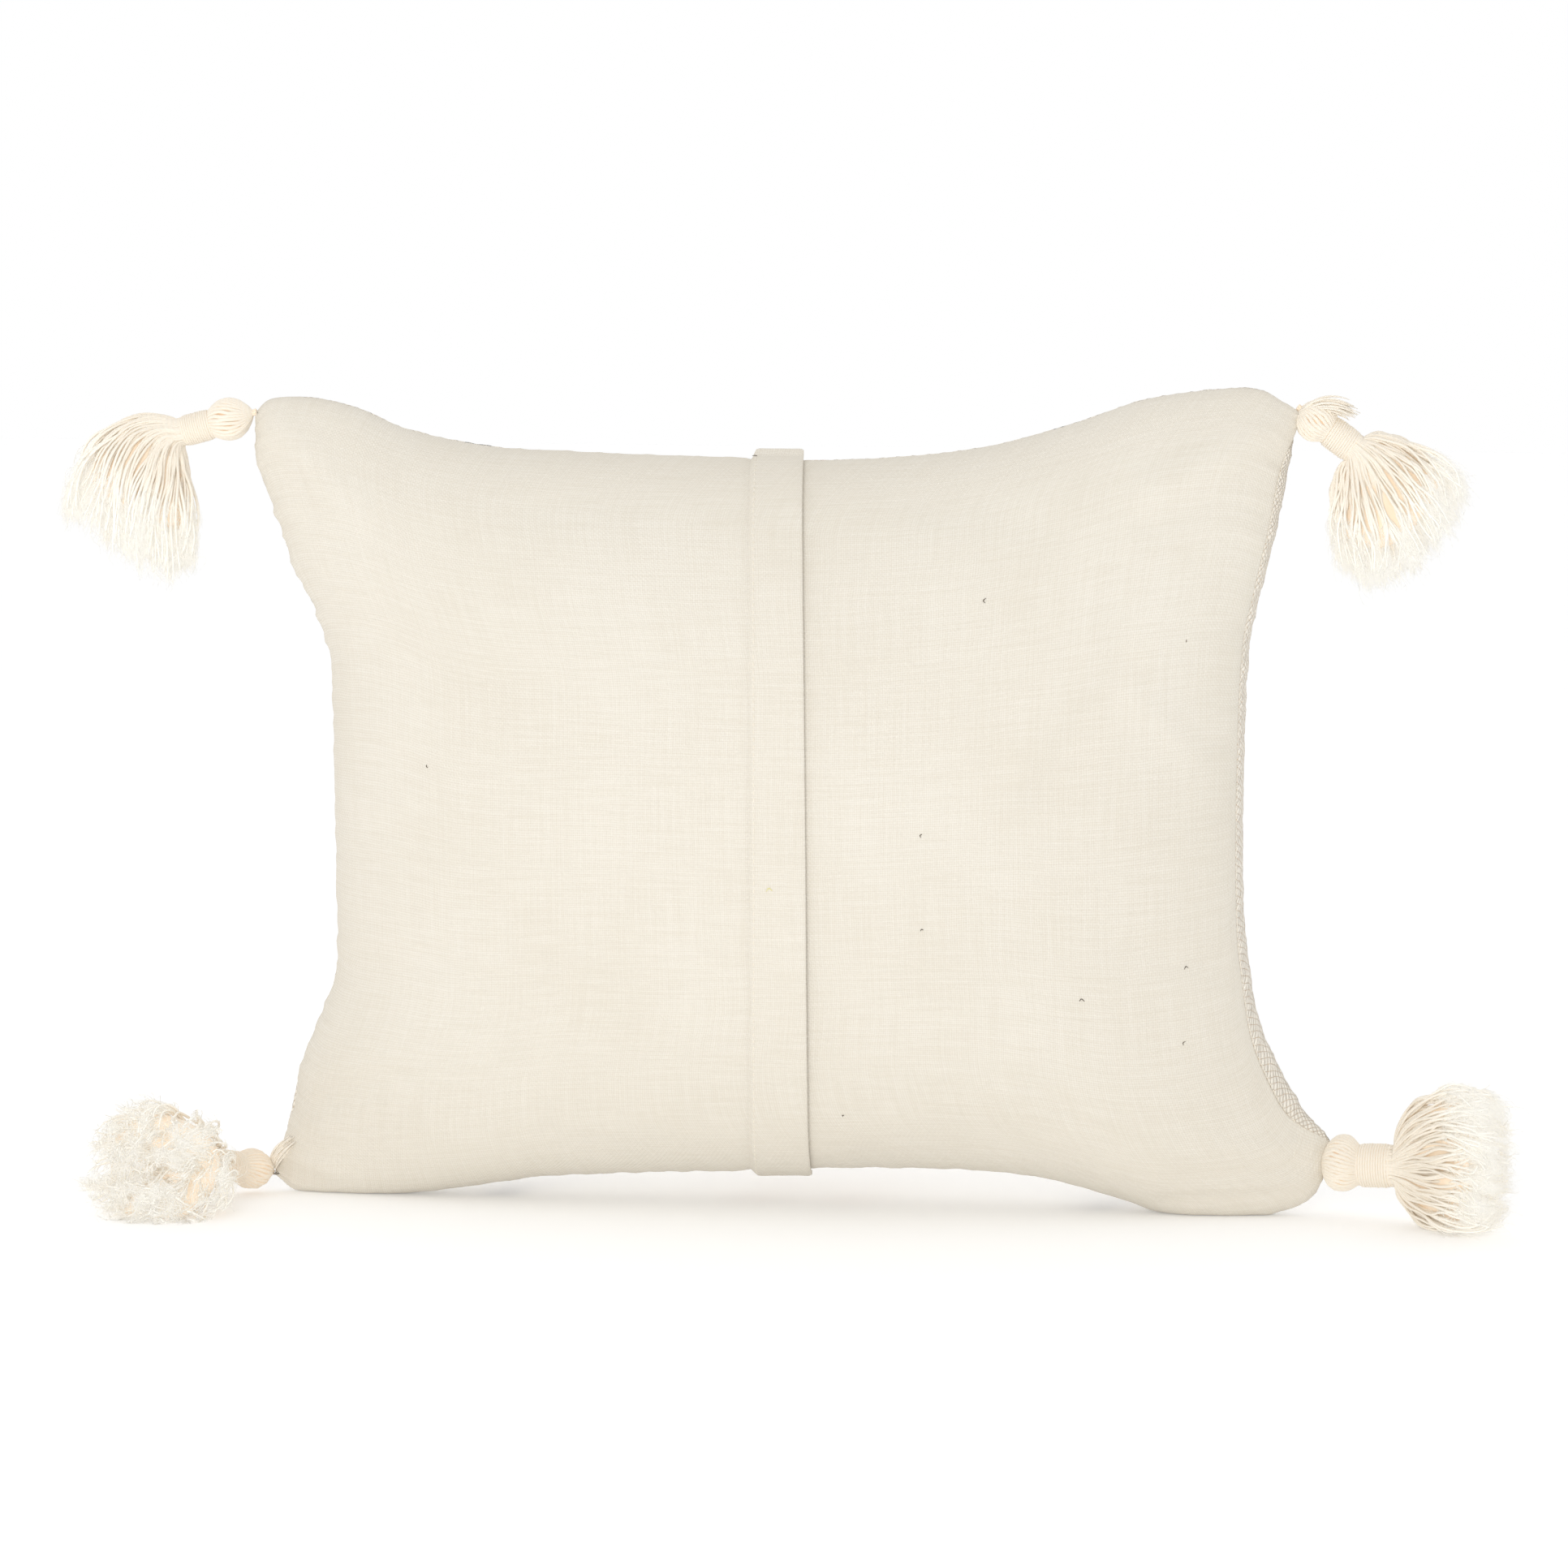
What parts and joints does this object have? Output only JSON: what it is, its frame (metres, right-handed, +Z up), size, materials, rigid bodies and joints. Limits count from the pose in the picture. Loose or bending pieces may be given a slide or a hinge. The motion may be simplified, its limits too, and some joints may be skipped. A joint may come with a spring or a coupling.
{
  "type": "throw pillow",
  "caption": "Rectangular stuffed throw pillow with an overlapped envelope closure down its plain back, a heavy woven striped front and a yarn tassel on each corner.",
  "frame": {"origin": "on the floor, below the middle of the whole piece, tassels included, with the pillow standing on its lower edge", "axes": "+X to the right of someone facing the plain back, +Y from the back through to the patterned front, +Z up"},
  "size_m": [0.6736, 0.1645, 0.3815],
  "materials": {
    "back_cloth": "plain woven natural cotton, matte, with slubs and seed flecks",
    "front_weave": "heavy basket weave with tan and charcoal stripes",
    "tassel_yarn": "soft twisted cotton yarn with frayed ends",
    "sewing_thread": "fine twisted thread",
    "insert_casing": "smooth nonwoven casing",
    "fibre_filling": "loose polyester fibre"
  },
  "bodies": {
    "cushion": {"front_panel": "front_weave", "back_panel_left": "back_cloth", "back_panel_right": "back_cloth", "underlap_hem_stitches": "sewing_thread", "cover_seam_bottom": "sewing_thread", "cover_seam_top": "sewing_thread", "cover_seam_left": "sewing_thread", "cover_seam_right": "sewing_thread", "insert_casing_back": "insert_casing", "insert_casing_front": "insert_casing", "insert_seam_bottom": "sewing_thread", "insert_seam_top": "sewing_thread", "fibre_filling": "fibre_filling"},
    "closure_flap": {"closure_flap": "back_cloth", "flap_hem_stitches": "sewing_thread"},
    "tassel_top_left_tie": {"tassel_top_left_tie": "tassel_yarn"},
    "tassel_top_left_head": {"tassel_top_left_head": "tassel_yarn", "tassel_top_left_binding": "tassel_yarn"},
    "tassel_top_left_skirt": {"tassel_top_left_skirt": "tassel_yarn"},
    "tassel_top_right_tie": {"tassel_top_right_tie": "tassel_yarn"},
    "tassel_top_right_head": {"tassel_top_right_head": "tassel_yarn", "tassel_top_right_binding": "tassel_yarn"},
    "tassel_top_right_skirt": {"tassel_top_right_skirt": "tassel_yarn"},
    "tassel_bottom_left_tie": {"tassel_bottom_left_tie": "tassel_yarn"},
    "tassel_bottom_left_head": {"tassel_bottom_left_head": "tassel_yarn", "tassel_bottom_left_binding": "tassel_yarn"},
    "tassel_bottom_left_skirt": {"tassel_bottom_left_skirt": "tassel_yarn"},
    "tassel_bottom_right_tie": {"tassel_bottom_right_tie": "tassel_yarn"},
    "tassel_bottom_right_head": {"tassel_bottom_right_head": "tassel_yarn", "tassel_bottom_right_binding": "tassel_yarn"},
    "tassel_bottom_right_skirt": {"tassel_bottom_right_skirt": "tassel_yarn"}
  },
  "joints": [
    {"name": "closure_flap_lift", "type": "hinge", "parent": "cushion", "child": "closure_flap", "pos_m": [-0.012, -0.0801, 0.187], "axis": [0, 0, -1], "range_deg": [0, 35], "stiffness_Nm_per_rad": 0.02},
    {"name": "tassel_top_left_swing", "type": "hinge", "parent": "cushion", "child": "tassel_top_left_tie", "pos_m": [-0.246, 0, 0.367], "axis": [0, 1, 0], "range_deg": [-20, 60]},
    {"name": "tassel_top_left_tilt", "type": "hinge", "parent": "tassel_top_left_tie", "child": "tassel_top_left_head", "pos_m": [-0.25025, 0, 0.36585], "axis": [0.2602, 0, -0.9656], "range_deg": [-25, 25]},
    {"name": "tassel_top_left_droop", "type": "hinge", "parent": "tassel_top_left_head", "child": "tassel_top_left_skirt", "pos_m": [-0.28192, 0, 0.35732], "axis": [0, 1, 0], "range_deg": [-15, 20]},
    {"name": "tassel_top_right_swing", "type": "hinge", "parent": "cushion", "child": "tassel_top_right_tie", "pos_m": [0.2378, 0, 0.3705], "axis": [0, -1, 0], "range_deg": [-10, 60]},
    {"name": "tassel_top_right_tilt", "type": "hinge", "parent": "tassel_top_right_tie", "child": "tassel_top_right_head", "pos_m": [0.24141, 0, 0.36799], "axis": [0.5708, 0, 0.8211], "range_deg": [-25, 25]},
    {"name": "tassel_top_right_droop", "type": "hinge", "parent": "tassel_top_right_head", "child": "tassel_top_right_skirt", "pos_m": [0.2667, 0, 0.35041], "axis": [0, -1, 0], "range_deg": [-7, 20]},
    {"name": "tassel_bottom_left_swing", "type": "hinge", "parent": "cushion", "child": "tassel_bottom_left_tie", "pos_m": [-0.239, 0, 0.009], "axis": [0, 1, 0], "range_deg": [-2, 60]},
    {"name": "tassel_bottom_left_tilt", "type": "hinge", "parent": "tassel_bottom_left_tie", "child": "tassel_bottom_left_head", "pos_m": [-0.24156, -0.00344, 0.00997], "axis": [-0.3547, 0, -0.935], "range_deg": [-15, 20]},
    {"name": "tassel_bottom_left_droop", "type": "hinge", "parent": "tassel_bottom_left_head", "child": "tassel_bottom_left_skirt", "pos_m": [-0.25949, -0.02755, 0.01677], "axis": [-0.8025, 0.5967, 0], "range_deg": [-2, 19]},
    {"name": "tassel_bottom_right_swing", "type": "hinge", "parent": "cushion", "child": "tassel_bottom_right_tie", "pos_m": [0.2588, 0, 0.03], "axis": [0, -1, 0], "range_deg": [-3, 48]},
    {"name": "tassel_bottom_right_tilt", "type": "hinge", "parent": "tassel_bottom_right_tie", "child": "tassel_bottom_right_head", "pos_m": [0.26298, -0.00136, 0.02987], "axis": [0.0316, 0, 0.9995], "range_deg": [-20, 25]},
    {"name": "tassel_bottom_right_droop", "type": "hinge", "parent": "tassel_bottom_right_head", "child": "tassel_bottom_right_skirt", "pos_m": [0.2875, -0.00936, 0.02909], "axis": [-0.3102, -0.9507, 0], "range_deg": [-2, 13]}
  ]
}
